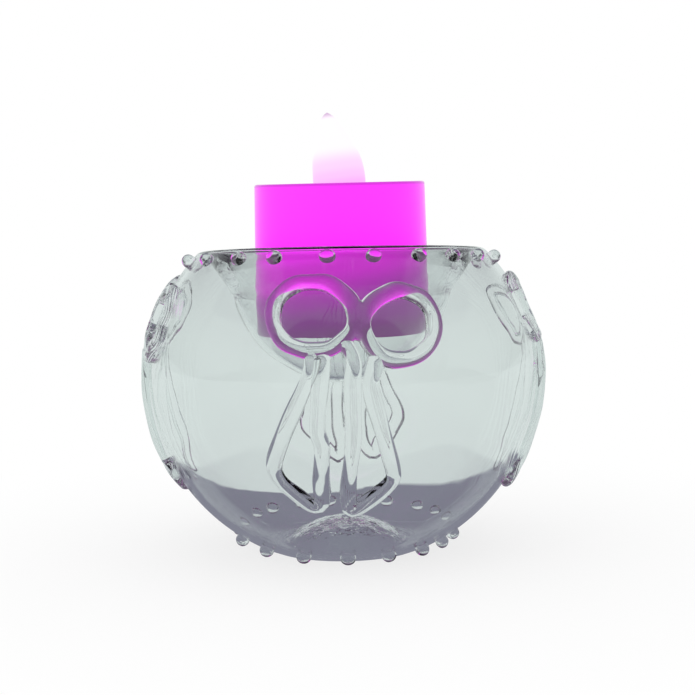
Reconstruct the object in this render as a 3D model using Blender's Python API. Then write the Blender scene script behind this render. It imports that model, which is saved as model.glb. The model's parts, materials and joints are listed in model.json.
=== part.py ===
"""Blown glass tealight holder with a folded-in cup, rod bows and beads, and the LED tealight that stands in it.

Metres, +Z up, origin on the surface that the holder stands on, on the bowl's axis; the front bow faces -Y.
"""

import math

import bmesh
import bpy
from mathutils import Matrix, Vector

MM = 0.001

# Bowl: the outside is two half ellipses of revolution that meet at the widest height
BOWL_RADIUS = 42.0 * MM
WIDEST_HEIGHT = 38.0 * MM
FOOT_RADIUS = 14.8 * MM
UPPER_REACH = 39.0 * MM
BOWL_WALL = 1.6 * MM
FOOT_ROUND = 0.8 * MM
FOOT_WALL = 2.0 * MM
RIM_SHOULDER = 2.0 * MM
KICK_RADIUS = 12.0 * MM
KICK_HEIGHT = 4.4 * MM
RIM_HEIGHT = 64.7 * MM
RIM_ROUND = 0.9 * MM
VENT_RADIUS = 1.0 * MM
GLASS_SIDES = 40
WALL_STEPS = 11
CUP_STEPS = 8
KICK_STEPS = 3

# Cup: a round bottom that hangs inside the bowl; from its lip a slope flares up to the folded rim
CUP_RADIUS = 22.8 * MM
CUP_CENTRE_HEIGHT = 60.0 * MM
CUP_WALL = 1.3 * MM
CUP_LIP_HEIGHT = 57.0 * MM
CUP_LIP_ROUND = 4.0 * MM
FOLD_DEPTH = 2.3 * MM

# Bows of glass rod, four round the bowl; a place is (across, height), across measured along the wall
BOW_COUNT = 4
BOW_TURN = math.radians(4.2)
ROD_RADIUS = 1.45 * MM
ROD_STAND_OUT = 0.75 * MM
LEFT_LOOP_CENTRE = (-8.3 * MM, 52.0 * MM)
LEFT_LOOP_SIZE = (7.8 * MM, 6.0 * MM)
RIGHT_LOOP_CENTRE = (8.1 * MM, 50.1 * MM)
RIGHT_LOOP_SIZE = (7.0 * MM, 6.1 * MM)
KNOT_TOP = (0.0, 53.3 * MM)
KNOT_FOOT = (-0.2 * MM, 49.6 * MM)
LEFT_TAIL_CORNERS = (
    (-8.5 * MM, 46.0 * MM),
    (-16.4 * MM, 24.4 * MM),
    (-15.0 * MM, 21.2 * MM),
    (-7.9 * MM, 14.8 * MM),
    (-6.8 * MM, 46.2 * MM),
)
RIGHT_TAIL_CORNERS = (
    (-2.8 * MM, 48.0 * MM),
    (-1.2 * MM, 40.0 * MM),
    (-1.9 * MM, 14.6 * MM),
    (5.8 * MM, 20.4 * MM),
    (6.6 * MM, 23.4 * MM),
    (2.8 * MM, 39.0 * MM),
    (3.6 * MM, 45.6 * MM),
)
TAIL_CORNER_ROUND = 1.8 * MM
ROD_STEP = 8.0 * MM
LOOP_STEPS = 14

# Beads of glass, set by hand: one row under the rim and one round the foot; turns are in degrees from the front
BEAD_RADIUS = 1.6 * MM
BEAD_STAND_OUT = 0.6 * MM
RIM_BEAD_HEIGHT = 62.3 * MM
RIM_BEAD_TURNS = (
    (-75, -55, -37.5, -23, -4.5, 11, 27.5, 42, 56.5, 76)
    + (93, 108, 123, 139, 157, 178, 199, 220.5, 238, 262)
)
FRONT_BEAD_HEIGHT = 2.7 * MM
BACK_BEAD_HEIGHT = 4.8 * MM
FOOT_BEAD_TURNS = (-62, -45, -28.5, 1, 28, 53, 68, 84, 98, 118, 134.5, 156.5, 181, 206.5, 227, 243, 260, 279)
BEAD_SIDES = 7
BEAD_RINGS = 5

# LED tealight, in its own frame: z from its lower edge
SHELL_FOOT_RADIUS = 18.9 * MM
SHELL_TOP_RADIUS = 18.3 * MM
SHELL_HEIGHT = 31.4 * MM
SHELL_WALL = 1.2 * MM
SHELL_EDGE_ROUND = 0.6 * MM
SHELL_SIDES = 40
LEAN_FORWARD = math.radians(2.5)
LEAN_RIGHT_UP = math.radians(0.4)
GAP = 0.3 * MM

FLAME_RADIUS = 5.65 * MM
FLAME_HEIGHT = 15.0 * MM
FLAME_WALL = 0.9 * MM
FLAME_TIP_SHIFT = -2.3 * MM
FLAME_FLANGE = 1.4 * MM
FLAME_FLANGE_THICKNESS = 1.0 * MM
FLAME_TIP_THICKNESS = 1.4 * MM
FLAME_SIDES = 18

CELL_RADIUS = 10.0 * MM
CELL_THICKNESS = 3.2 * MM
CELL_OFFSET = 3.5 * MM
CELL_EDGE_ROUND = 0.5 * MM
CELL_STEP = 1.1 * MM

PLATE_LIFT = 1.2 * MM
PLATE_THICKNESS = 1.6 * MM
POCKET_WALL = 2.3 * MM
DOOR_THICKNESS = 1.3 * MM
DOOR_LEDGE = 1.0 * MM
EAR_RADIUS = 2.6 * MM
EAR_REACH = 1.6 * MM

SCREW_RADIUS = 0.8 * MM
SCREW_HEAD_RADIUS = 1.7 * MM
SCREW_HEAD_HEIGHT = 0.7 * MM
SCREW_LENGTH = 4.4 * MM
SCREW_SLOT = 0.4 * MM
SCREW_SLOT_REACH = 1.2 * MM
SCREW_EDGE_BREAK = 0.3 * MM
SCREW_ROOF = 0.6 * MM

SWITCH_OFFSET = -12.8 * MM
SWITCH_TRAVEL = 2.4 * MM
NUB_LENGTH = 3.0 * MM
NUB_WIDTH = 2.0 * MM
GROOVE_PITCH = 0.9 * MM
GROOVE_WIDTH = 0.4 * MM
GROOVE_DEPTH = 0.3 * MM
SLIDER_LENGTH = 8.0 * MM
SLIDER_WIDTH = 4.4 * MM
SLIDER_THICKNESS = 1.0 * MM
RAIL_LENGTH = 11.0 * MM
RAIL_WIDTH = 0.8 * MM

STRIP_THICKNESS = 0.3 * MM
STRIP_WIDTH = 3.4 * MM
UPPER_CONTACT_LENGTH = 12.0 * MM

POST_RADIUS = 3.2 * MM
POST_BORE = 2.2 * MM
POST_DISC_THICKNESS = 1.3 * MM
LED_RADIUS = 1.5 * MM
LED_FLANGE_RADIUS = 1.9 * MM
LED_FLANGE_THICKNESS = 0.8 * MM
LED_BODY = 3.4 * MM
LED_LEG_RADIUS = 0.25 * MM
LED_LEG_OFFSET = 0.64 * MM
LED_SEAT_DEPTH = 2.4 * MM
LEG_BEND = 1.2 * MM
LEG_RUN_HEIGHT = 1.6 * MM
LEG_SLOT_HEIGHT = 4.0 * MM

# How far a united piece sinks into its carrier, and how far a cutter runs past a face
SINK = 0.4 * MM
CUT_PAST = 1.0 * MM

# The lower half ellipse reaches below the table, so that it meets the table at the foot's radius
LOWER_REACH = WIDEST_HEIGHT / math.sqrt(1.0 - (FOOT_RADIUS / BOWL_RADIUS) ** 2)

# Heights in the tealight's frame that follow from the sizes above
PLATE_TOP = PLATE_LIFT + PLATE_THICKNESS
CELL_FLOOR = PLATE_TOP
CELL_TOP = CELL_FLOOR + CELL_THICKNESS
POCKET_RADIUS = CELL_RADIUS + GAP
POCKET_TOP = CELL_TOP + GAP + STRIP_THICKNESS
DISC_BOTTOM = POCKET_TOP + GAP
DISC_TOP = DISC_BOTTOM + POST_DISC_THICKNESS
SHELL_CEILING = SHELL_HEIGHT - SHELL_WALL
LED_SEAT = SHELL_CEILING - LED_SEAT_DEPTH
DOOR_RADIUS = CELL_RADIUS + DOOR_LEDGE + GAP
EAR_CENTRE = DOOR_RADIUS + EAR_REACH
SLIDER_FLOOR = PLATE_TOP + GAP
SLIDER_TOP = SLIDER_FLOOR + SLIDER_THICKNESS
BLADE_Y = CELL_OFFSET - POCKET_RADIUS


def clear_scene():
    for item in list(bpy.data.objects):
        bpy.data.objects.remove(item, do_unlink=True)


def material(name, colour, roughness, metallic=0.0, transmission=0.0, glow=0.0):
    """A Principled material of one colour."""
    made = bpy.data.materials.new(name)
    made.use_nodes = True
    made.diffuse_color = (*colour, 1.0)
    shader = made.node_tree.nodes["Principled BSDF"]
    shader.inputs["Base Color"].default_value = (*colour, 1.0)
    shader.inputs["Roughness"].default_value = roughness
    shader.inputs["Metallic"].default_value = metallic
    shader.inputs["Transmission Weight"].default_value = transmission
    shader.inputs["Emission Color"].default_value = (*colour, 1.0)
    shader.inputs["Emission Strength"].default_value = glow
    return made


def mesh_object(name, mesh_maker, parent=None, finish=None):
    """An object in the scene whose mesh a bmesh function fills."""
    mesh = bpy.data.meshes.new(name)
    shape = bmesh.new()
    mesh_maker(shape)
    bmesh.ops.recalc_face_normals(shape, faces=shape.faces)
    shape.to_mesh(mesh)
    shape.free()
    item = bpy.data.objects.new(name, mesh)
    bpy.context.scene.collection.objects.link(item)
    item.parent = parent
    if finish:
        mesh.materials.append(finish)
    return item


def as_cutter(item):
    item.hide_render = True
    item.display_type = "WIRE"
    return item


def boolean(item, other, operation):
    step = item.modifiers.new(f"{operation.lower()} {other.name}", "BOOLEAN")
    step.operation = operation
    step.solver = "EXACT"
    step.object = as_cutter(other)


def shade_round(item, angle=40.0):
    item.data.shade_smooth()
    item.data.set_sharp_from_angle(angle=math.radians(angle))


def arc(centre, radius, start, end, steps):
    """Points of a flat arc, its ends included; angles in degrees."""
    turns = [math.radians(start + (end - start) * i / steps) for i in range(steps + 1)]
    return [(centre[0] + radius * math.cos(t), centre[1] + radius * math.sin(t)) for t in turns]


def rounded(before, corner, after, radius, steps):
    """The arc that rounds a corner between two straight runs."""
    corner = Vector(corner)
    to_before = (Vector(before) - corner).normalized()
    to_after = (Vector(after) - corner).normalized()
    half = to_before.angle(to_after) / 2
    shortest = min((Vector(before) - corner).length, (Vector(after) - corner).length)
    reach = min(radius / math.tan(half), 0.45 * shortest)
    radius = reach * math.tan(half)
    centre = corner + (to_before + to_after).normalized() * radius / math.sin(half)
    first = corner + to_before * reach - centre
    last = corner + to_after * reach - centre
    swing = first.angle_signed(last)
    turn = [Matrix.Rotation(-swing * i / steps, 2) @ first for i in range(steps + 1)]
    return [tuple(centre + step) for step in turn]


def rounded_run(corners, radius, steps):
    """An open run through the corners with each inner one rounded."""
    run = [corners[0]]
    for before, corner, after in zip(corners, corners[1:], corners[2:]):
        run += rounded(before, corner, after, radius, steps)
    return run + [corners[-1]]


def lathe(shape, outline, sides, closed):
    """Turns an (r, z) outline about Z; points with r = 0 become poles."""
    points = [shape.verts.new((r, 0.0, z)) for r, z in outline]
    pairs = list(zip(points, points[1:])) + ([(points[-1], points[0])] if closed else [])
    edges = [shape.edges.new(pair) for pair in pairs]
    bmesh.ops.spin(
        shape,
        geom=points + edges,
        axis=(0.0, 0.0, 1.0),
        cent=(0.0, 0.0, 0.0),
        steps=sides,
        angle=math.tau,
        use_merge=True,
    )
    bmesh.ops.remove_doubles(shape, verts=shape.verts, dist=1e-6)


def box(shape, low, high):
    """A block between two corners."""
    middle = (Vector(low) + Vector(high)) / 2
    size = Vector(high) - Vector(low)
    place = Matrix.Translation(middle) @ Matrix.Diagonal((*size, 1.0))
    bmesh.ops.create_cube(shape, size=1.0, matrix=place)


def cylinder(shape, radius, low, high, at=(0.0, 0.0), sides=32):
    place = Matrix.Translation((at[0], at[1], (low + high) / 2))
    bmesh.ops.create_cone(
        shape, cap_ends=True, segments=sides, radius1=radius, radius2=radius, depth=high - low, matrix=place
    )


def rod(name, points, radius, closed, sides_each_quarter, parent=None, finish=None):
    """A round rod along a run of points: a curve with a bevel, made a mesh."""
    curve = bpy.data.curves.new(name, "CURVE")
    curve.dimensions = "3D"
    curve.bevel_depth = radius
    curve.bevel_resolution = sides_each_quarter
    curve.use_fill_caps = True
    spline = curve.splines.new("POLY")
    spline.points.add(len(points) - 1)
    for place, point in zip(spline.points, points):
        place.co = (*point, 1.0)
    spline.use_cyclic_u = closed
    guide = bpy.data.objects.new(name + " run", curve)
    bpy.context.scene.collection.objects.link(guide)
    mesh = bpy.data.meshes.new_from_object(guide)
    bpy.data.objects.remove(guide)

    def copy_in(shape):
        shape.from_mesh(mesh)
        bmesh.ops.remove_doubles(shape, verts=shape.verts, dist=1e-6)

    return mesh_object(name, copy_in, parent, finish)


def half_ellipse(z, radius, reach):
    return radius * math.sqrt(1.0 - (z / reach) ** 2)


def bowl_radius_at(z, inset=0.0):
    """Radius of the bowl's outside at a height, or of a surface that lies inset from it."""
    reach = (UPPER_REACH if z > WIDEST_HEIGHT else LOWER_REACH) - inset
    return half_ellipse(z - WIDEST_HEIGHT, BOWL_RADIUS - inset, reach)


def bowl_normal(across, z):
    """The direction straight out of the bowl's wall; across runs round the wall."""
    radius = bowl_radius_at(z)
    reach = UPPER_REACH if z > WIDEST_HEIGHT else LOWER_REACH
    flat = Vector((radius / BOWL_RADIUS**2, (z - WIDEST_HEIGHT) / reach**2)).normalized()
    turn = across / radius
    return Vector((flat.x * math.sin(turn), -flat.x * math.cos(turn), flat.y))


def bowl_point(across, z, out):
    """The place that lies a distance out from the bowl's wall."""
    radius = bowl_radius_at(z)
    turn = across / radius
    return Vector((radius * math.sin(turn), -radius * math.cos(turn), z)) + out * bowl_normal(across, z)


def fold_line():
    """The rim's centre and the two ends of the slope that runs from the rim down to the cup."""
    rim_z = RIM_HEIGHT - RIM_ROUND
    rim = (bowl_radius_at(rim_z) - RIM_ROUND, rim_z)
    lip = (math.sqrt(CUP_RADIUS**2 - (CUP_CENTRE_HEIGHT - CUP_LIP_HEIGHT) ** 2), CUP_LIP_HEIGHT)
    slope = math.atan2(rim[1] - lip[1], rim[0] - lip[0])
    start = (rim[0] - RIM_ROUND * math.sin(slope), rim[1] + RIM_ROUND * math.cos(slope))
    return rim, start, lip, slope


def wall_run(start_z, end_z, steps, inset=0.0):
    """Points down or up the bowl's wall between two heights, closer together where it curves most."""

    def turn_at(z):
        reach = (UPPER_REACH if z > WIDEST_HEIGHT else LOWER_REACH) - inset
        return math.asin((z - WIDEST_HEIGHT) / reach)

    start, end = turn_at(start_z), turn_at(end_z)
    run = []
    for i in range(steps + 1):
        turn = start + (end - start) * i / steps
        reach = (UPPER_REACH if turn > 0 else LOWER_REACH) - inset
        run.append(((BOWL_RADIUS - inset) * math.cos(turn), WIDEST_HEIGHT + reach * math.sin(turn)))
    return run


def sphere_run(radius, centre_z, start, end, steps):
    """Points down or up a sphere on the axis; angles in degrees above the level of its centre."""
    turns = [math.radians(start + (end - start) * i / steps) for i in range(steps + 1)]
    return [(max(0.0, radius * math.cos(t)), centre_z + radius * math.sin(t)) for t in turns]


def on_axis(point):
    return (0.0, point[1])


def bowl_outline():
    """The wall's outline: up the cup, over the rim, down the bowl, through the foot's kick and back inside."""
    rim, start, lip, slope = fold_line()
    lip_turn = -math.degrees(math.asin((CUP_CENTRE_HEIGHT - CUP_LIP_HEIGHT) / CUP_RADIUS))
    cup = sphere_run(CUP_RADIUS, CUP_CENTRE_HEIGHT, -90, lip_turn - 6, CUP_STEPS)
    lip_round = rounded(cup[-1], lip, start, CUP_LIP_ROUND, 2)
    rim_round = arc(rim, RIM_ROUND, 90 + math.degrees(slope), 8, 4)
    outside = wall_run(RIM_HEIGHT - RIM_SHOULDER, FOOT_ROUND, WALL_STEPS)
    foot = [(FOOT_RADIUS - FOOT_ROUND, 0.0)]

    kick_curve = (KICK_RADIUS**2 + KICK_HEIGHT**2) / (2 * KICK_HEIGHT)
    kick_centre = KICK_HEIGHT - kick_curve
    kick_edge = math.degrees(math.acos(KICK_RADIUS / kick_curve))
    vent_edge = math.degrees(math.acos(VENT_RADIUS / kick_curve))
    under = sphere_run(kick_curve, kick_centre, kick_edge, vent_edge, KICK_STEPS)
    floor_curve = kick_curve + FOOT_WALL
    floor_vent = math.degrees(math.acos(VENT_RADIUS / floor_curve))
    over = sphere_run(floor_curve, kick_centre, floor_vent, kick_edge + 4, KICK_STEPS)

    valley = (KICK_RADIUS + FOOT_WALL, 0.9 * FOOT_WALL)
    inside = wall_run(1.3 * FOOT_WALL, RIM_HEIGHT - FOLD_DEPTH, WALL_STEPS - 2, BOWL_WALL)
    back = sphere_run(CUP_RADIUS + CUP_WALL, CUP_CENTRE_HEIGHT, lip_turn - 2, -90, CUP_STEPS - 3)
    cup[0], back[-1] = on_axis(cup[0]), on_axis(back[-1])
    return cup + lip_round + rim_round + outside + foot + under + over + [valley] + inside + back


def bow_runs():
    """The rods of one bow, as (name, across-and-height points, closed)."""

    def loop(centre, size):
        turns = [math.tau * i / LOOP_STEPS for i in range(LOOP_STEPS)]
        return [(centre[0] + size[0] * math.cos(t), centre[1] + size[1] * math.sin(t)) for t in turns]

    knot_middle = Vector(KNOT_TOP).lerp(Vector(KNOT_FOOT), 0.5)
    return (
        ("left loop", loop(LEFT_LOOP_CENTRE, LEFT_LOOP_SIZE), True),
        ("right loop", loop(RIGHT_LOOP_CENTRE, RIGHT_LOOP_SIZE), True),
        ("knot", [KNOT_TOP, tuple(knot_middle), KNOT_FOOT], False),
        ("left tail", with_midpoints(rounded_run(LEFT_TAIL_CORNERS, TAIL_CORNER_ROUND, 2)), False),
        ("right tail", with_midpoints(rounded_run(RIGHT_TAIL_CORNERS, TAIL_CORNER_ROUND, 2)), False),
    )


def with_midpoints(run):
    """The same run with its long straights cut up, so that they follow the wall."""
    out = []
    for here, there in zip(run, run[1:]):
        here, there = Vector(here), Vector(there)
        parts = max(1, math.ceil((there - here).length / ROD_STEP))
        out += [tuple(here.lerp(there, i / parts)) for i in range(parts)]
    return out + [run[-1]]


def bead(name, turn, z):
    """A round bead that is half sunk in the bowl's wall."""
    across = turn * bowl_radius_at(z)
    outwards = bowl_normal(across, z).to_track_quat("Z", "Y").to_matrix().to_4x4()
    place = Matrix.Translation(bowl_point(across, z, BEAD_STAND_OUT)) @ outwards

    def ball(shape):
        bmesh.ops.create_uvsphere(
            shape, u_segments=BEAD_SIDES, v_segments=BEAD_RINGS, radius=BEAD_RADIUS, matrix=place
        )

    return mesh_object(name, ball)


def glass_holder(glass):
    """The blown body with its bows and beads fused on."""
    outline = bowl_outline()
    body = mesh_object("glass_holder", lambda shape: lathe(shape, outline, GLASS_SIDES, False), None, glass)
    trims = bpy.data.collections.new("fused glass")
    bpy.context.scene.collection.children.link(trims)
    pieces = []
    for bow in range(BOW_COUNT):
        turn = BOW_TURN + math.tau * bow / BOW_COUNT
        for name, run, closed in bow_runs():
            points = [Matrix.Rotation(turn, 3, "Z") @ bowl_point(x, z, ROD_STAND_OUT) for x, z in run]
            pieces.append(rod(f"bow {bow} {name}", points, ROD_RADIUS, closed, 1))
    pieces += [bead(f"rim bead {turn}", math.radians(turn), RIM_BEAD_HEIGHT) for turn in RIM_BEAD_TURNS]
    for turn in FOOT_BEAD_TURNS:
        share = (1.0 - math.cos(math.radians(turn))) / 2
        height = FRONT_BEAD_HEIGHT + (BACK_BEAD_HEIGHT - FRONT_BEAD_HEIGHT) * share
        pieces.append(bead(f"foot bead {turn}", math.radians(turn), height))
    for piece in pieces:
        bpy.context.scene.collection.objects.unlink(piece)
        trims.objects.link(as_cutter(piece))
    fuse = body.modifiers.new("fuse the trims", "BOOLEAN")
    fuse.operation = "UNION"
    fuse.solver = "EXACT"
    fuse.use_self = True
    fuse.operand_type = "COLLECTION"
    fuse.collection = trims
    shade_round(body)
    return body


def tealight_place():
    """The empty that carries the tealight: at the cup's centre, about which the tealight can lean."""
    place = bpy.data.objects.new("tealight_place", None)
    bpy.context.scene.collection.objects.link(place)
    place.location = (0.0, 0.0, CUP_CENTRE_HEIGHT)
    place.rotation_euler = (LEAN_FORWARD, -LEAN_RIGHT_UP, 0.0)
    seat = bpy.data.objects.new("tealight_seat", None)
    bpy.context.scene.collection.objects.link(seat)
    seat.parent = place
    seat.location = (0.0, 0.0, -math.sqrt((CUP_RADIUS - GAP) ** 2 - SHELL_FOOT_RADIUS**2))
    return seat


def shell_radius_at(z):
    return SHELL_FOOT_RADIUS + (SHELL_TOP_RADIUS - SHELL_FOOT_RADIUS) * z / SHELL_HEIGHT


def candle_shell(seat, finish):
    """The straight-sided moulded cup, open underneath, with the flame's hole in its top."""
    hole = FLAME_RADIUS + GAP
    foot_inside = (SHELL_FOOT_RADIUS - SHELL_WALL, 0.0)
    top_inside = (shell_radius_at(SHELL_CEILING) - SHELL_WALL, SHELL_CEILING)
    top_corner = (SHELL_TOP_RADIUS, SHELL_HEIGHT)
    foot_outside = (SHELL_FOOT_RADIUS, 0.0)
    outline = [foot_outside, foot_inside, top_inside, (hole, SHELL_CEILING), (hole, SHELL_HEIGHT)]
    outline += rounded((hole, SHELL_HEIGHT), top_corner, foot_outside, SHELL_EDGE_ROUND, 3)
    item = mesh_object("candle_shell", lambda shape: lathe(shape, outline, SHELL_SIDES, True), seat, finish)
    shade_round(item)
    return item


def flame_outline_radius(share, radius):
    """Radius of the flame at a share of its height: full at its foot and drawn in to a round tip."""
    return radius * (1.0 - share**2.2) ** 0.75


def flame_skin(shape, radius, foot, height, rings, sides):
    """One skin of the flame, from its open foot to its tip; returns the foot's ring."""
    base = SHELL_HEIGHT
    rows = []
    for ring in range(rings):
        share = ring / rings
        z = foot + (base + height - foot) * share
        up = max(0.0, (z - base) / height)
        size = flame_outline_radius(up, radius)
        lean = FLAME_TIP_SHIFT * up**1.6
        turns = [math.tau * i / sides for i in range(sides)]
        rows.append([shape.verts.new((lean + size * math.cos(t), size * math.sin(t), z)) for t in turns])
    tip = shape.verts.new((FLAME_TIP_SHIFT, 0.0, base + height))
    for low, high in zip(rows, rows[1:]):
        for i in range(sides):
            j = (i + 1) % sides
            shape.faces.new((low[i], low[j], high[j], high[i]))
    for i in range(sides):
        shape.faces.new((rows[-1][i], rows[-1][(i + 1) % sides], tip))
    return rows[0]


def flame_tip(seat, finish):
    """The hollow flame; its flange is caught under the shell's top."""
    sides = FLAME_SIDES
    flange_top = SHELL_CEILING - GAP
    flange_foot = flange_top - FLAME_FLANGE_THICKNESS
    flange_radius = FLAME_RADIUS + FLAME_FLANGE

    def skins(shape):
        outer = flame_skin(shape, FLAME_RADIUS, flange_top, FLAME_HEIGHT, 11, sides)
        inside_height = FLAME_HEIGHT - FLAME_TIP_THICKNESS
        inner = flame_skin(shape, FLAME_RADIUS - FLAME_WALL, flange_foot, inside_height, 10, sides)
        turns = [math.tau * i / sides for i in range(sides)]
        rings = [outer]
        for z in (flange_top, flange_foot):
            circle = [(flange_radius * math.cos(t), flange_radius * math.sin(t), z) for t in turns]
            rings.append([shape.verts.new(point) for point in circle])
        rings.append(inner)
        for low, high in zip(rings, rings[1:]):
            for i in range(sides):
                j = (i + 1) % sides
                shape.faces.new((low[i], low[j], high[j], high[i]))

    item = mesh_object("flame_tip", skins, seat, finish)
    shade_round(item)
    return item


def base_plate(seat, finish):
    """The disc under the shell, with the cell's pocket, the door's opening, the switch's slot and the boss."""
    plate_radius = shell_radius_at(PLATE_TOP) - SHELL_WALL - GAP
    item = mesh_object(
        "base_plate", lambda shape: cylinder(shape, plate_radius, PLATE_LIFT, PLATE_TOP, sides=40), seat, finish
    )
    cell_at = (0.0, CELL_OFFSET)
    ear_at = (EAR_CENTRE, CELL_OFFSET)
    ring = mesh_object(
        "pocket wall",
        lambda shape: cylinder(shape, POCKET_RADIUS + POCKET_WALL, PLATE_TOP - SINK, POCKET_TOP, cell_at, 40),
        seat,
    )
    boss = mesh_object(
        "screw boss", lambda shape: cylinder(shape, EAR_RADIUS, PLATE_TOP - SINK, POCKET_TOP, ear_at, 24), seat
    )
    boolean(item, ring, "UNION")
    boolean(item, boss, "UNION")
    rail_offset = SLIDER_WIDTH / 2 + GAP + RAIL_WIDTH / 2
    for side in (-1, 1):
        rail_y = SWITCH_OFFSET + side * rail_offset

        def bar(shape, y=rail_y):
            low = (-RAIL_LENGTH / 2, y - RAIL_WIDTH / 2, PLATE_TOP - SINK)
            high = (RAIL_LENGTH / 2, y + RAIL_WIDTH / 2, SLIDER_TOP)
            box(shape, low, high)

        boolean(item, mesh_object(f"rail {side}", bar, seat), "UNION")
    under, over = PLATE_LIFT - CUT_PAST, POCKET_TOP + CUT_PAST
    pocket = mesh_object("pocket", lambda shape: cylinder(shape, POCKET_RADIUS, under, over, cell_at, 40), seat)
    opening = mesh_object(
        "door opening", lambda shape: cylinder(shape, DOOR_RADIUS + GAP, under, PLATE_TOP, cell_at, 40), seat
    )
    ear_notch = mesh_object(
        "ear notch", lambda shape: cylinder(shape, EAR_RADIUS + GAP, under, PLATE_TOP, ear_at, 24), seat
    )
    screw_hole = mesh_object(
        "screw hole",
        lambda shape: cylinder(shape, SCREW_RADIUS + GAP, PLATE_LIFT, POCKET_TOP - SCREW_ROOF, ear_at, 16),
        seat,
    )
    slot_length = NUB_LENGTH + SWITCH_TRAVEL + 2 * GAP
    slot = mesh_object(
        "switch slot",
        lambda shape: box(
            shape,
            (-slot_length / 2, SWITCH_OFFSET - NUB_WIDTH / 2 - GAP, under),
            (slot_length / 2, SWITCH_OFFSET + NUB_WIDTH / 2 + GAP, PLATE_TOP + CUT_PAST),
        ),
        seat,
    )
    blade_gap = STRIP_WIDTH / 2 + GAP
    notch = mesh_object(
        "blade notch",
        lambda shape: box(
            shape,
            (-blade_gap, BLADE_Y - POCKET_WALL - CUT_PAST, PLATE_TOP),
            (blade_gap, BLADE_Y + CUT_PAST, over),
        ),
        seat,
    )
    for cutter in (pocket, opening, ear_notch, screw_hole, slot, notch):
        boolean(item, cutter, "DIFFERENCE")
    shade_round(item)
    return item


def battery_door(seat, finish):
    """The round door with the ear that takes its screw."""
    top = PLATE_LIFT + DOOR_THICKNESS
    cell_at = (0.0, CELL_OFFSET)
    ear_at = (EAR_CENTRE, CELL_OFFSET)
    item = mesh_object(
        "battery_door", lambda shape: cylinder(shape, DOOR_RADIUS, PLATE_LIFT, top, cell_at, 40), seat, finish
    )
    ear = mesh_object("ear", lambda shape: cylinder(shape, EAR_RADIUS, PLATE_LIFT, top, ear_at, 24), seat)
    hole = mesh_object(
        "ear hole",
        lambda shape: cylinder(shape, SCREW_RADIUS + GAP, PLATE_LIFT - CUT_PAST, top + CUT_PAST, ear_at, 16),
        seat,
    )
    boolean(item, ear, "UNION")
    boolean(item, hole, "DIFFERENCE")
    shade_round(item)
    return item


def door_screw(seat, finish):
    """A pan-head screw, its head below the ear, with a cross slot."""
    head_top = PLATE_LIFT - GAP
    head_foot = head_top - SCREW_HEAD_HEIGHT
    shank_top = head_top + SCREW_LENGTH
    outline = [
        (0.0, head_foot),
        (SCREW_HEAD_RADIUS - SCREW_EDGE_BREAK, head_foot),
        (SCREW_HEAD_RADIUS, head_foot + SCREW_EDGE_BREAK),
        (SCREW_HEAD_RADIUS, head_top),
        (SCREW_RADIUS, head_top),
        (SCREW_RADIUS, shank_top - SCREW_RADIUS),
        (0.0, shank_top),
    ]
    item = mesh_object("door_screw", lambda shape: lathe(shape, outline, 16, False), seat, finish)
    item.location = (EAR_CENTRE, CELL_OFFSET, 0.0)

    def cross(shape, along):
        half = (SCREW_SLOT_REACH, SCREW_SLOT / 2) if along else (SCREW_SLOT / 2, SCREW_SLOT_REACH)
        box(shape, (-half[0], -half[1], head_foot - CUT_PAST), (half[0], half[1], head_foot + SCREW_SLOT))

    for along in (False, True):
        cut = mesh_object(f"screw slot {along}", lambda shape, way=along: cross(shape, way), seat)
        cut.location = item.location
        boolean(item, cut, "DIFFERENCE")
    shade_round(item)
    return item


def switch_slider(seat, finish):
    """The slider at its ON end: a flange on the plate and a grooved nub through the slot."""
    nub_foot = GAP

    def body(shape):
        flange_low = (-SLIDER_LENGTH / 2, -SLIDER_WIDTH / 2, SLIDER_FLOOR)
        box(shape, flange_low, (SLIDER_LENGTH / 2, SLIDER_WIDTH / 2, SLIDER_TOP))

    item = mesh_object("switch_slider", body, seat, finish)
    item.location = (SWITCH_TRAVEL / 2, SWITCH_OFFSET, 0.0)

    def nub_block(shape):
        low = (-NUB_LENGTH / 2, -NUB_WIDTH / 2, nub_foot)
        box(shape, low, (NUB_LENGTH / 2, NUB_WIDTH / 2, SLIDER_FLOOR + SINK))

    nub = mesh_object("nub", nub_block, seat)
    nub.location = item.location
    boolean(item, nub, "UNION")
    for i in (-1, 0, 1):

        def groove(shape, x=i * GROOVE_PITCH):
            low = (x - GROOVE_WIDTH / 2, -NUB_WIDTH, nub_foot - CUT_PAST)
            box(shape, low, (x + GROOVE_WIDTH / 2, NUB_WIDTH, nub_foot + GROOVE_DEPTH))

        cut = mesh_object(f"grip groove {i}", groove, seat)
        cut.location = item.location
        boolean(item, cut, "DIFFERENCE")
    return item


def coin_cell(seat, finish):
    """The cell: a can with a rounded edge and a stepped top."""
    foot_centre = (0.0, CELL_FLOOR)
    foot_edge = (CELL_RADIUS, CELL_FLOOR)
    outline = [foot_centre]
    outline += rounded(foot_centre, foot_edge, (CELL_RADIUS, CELL_TOP), CELL_EDGE_ROUND, 3)
    outline += [
        (CELL_RADIUS, CELL_TOP - CELL_STEP / 2),
        (CELL_RADIUS - CELL_STEP, CELL_TOP - CELL_STEP / 2),
        (CELL_RADIUS - CELL_STEP, CELL_TOP),
        (0.0, CELL_TOP),
    ]
    item = mesh_object("coin_cell", lambda shape: lathe(shape, outline, 32, False), seat, finish)
    item.location = (0.0, CELL_OFFSET, 0.0)
    shade_round(item)
    return item


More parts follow.
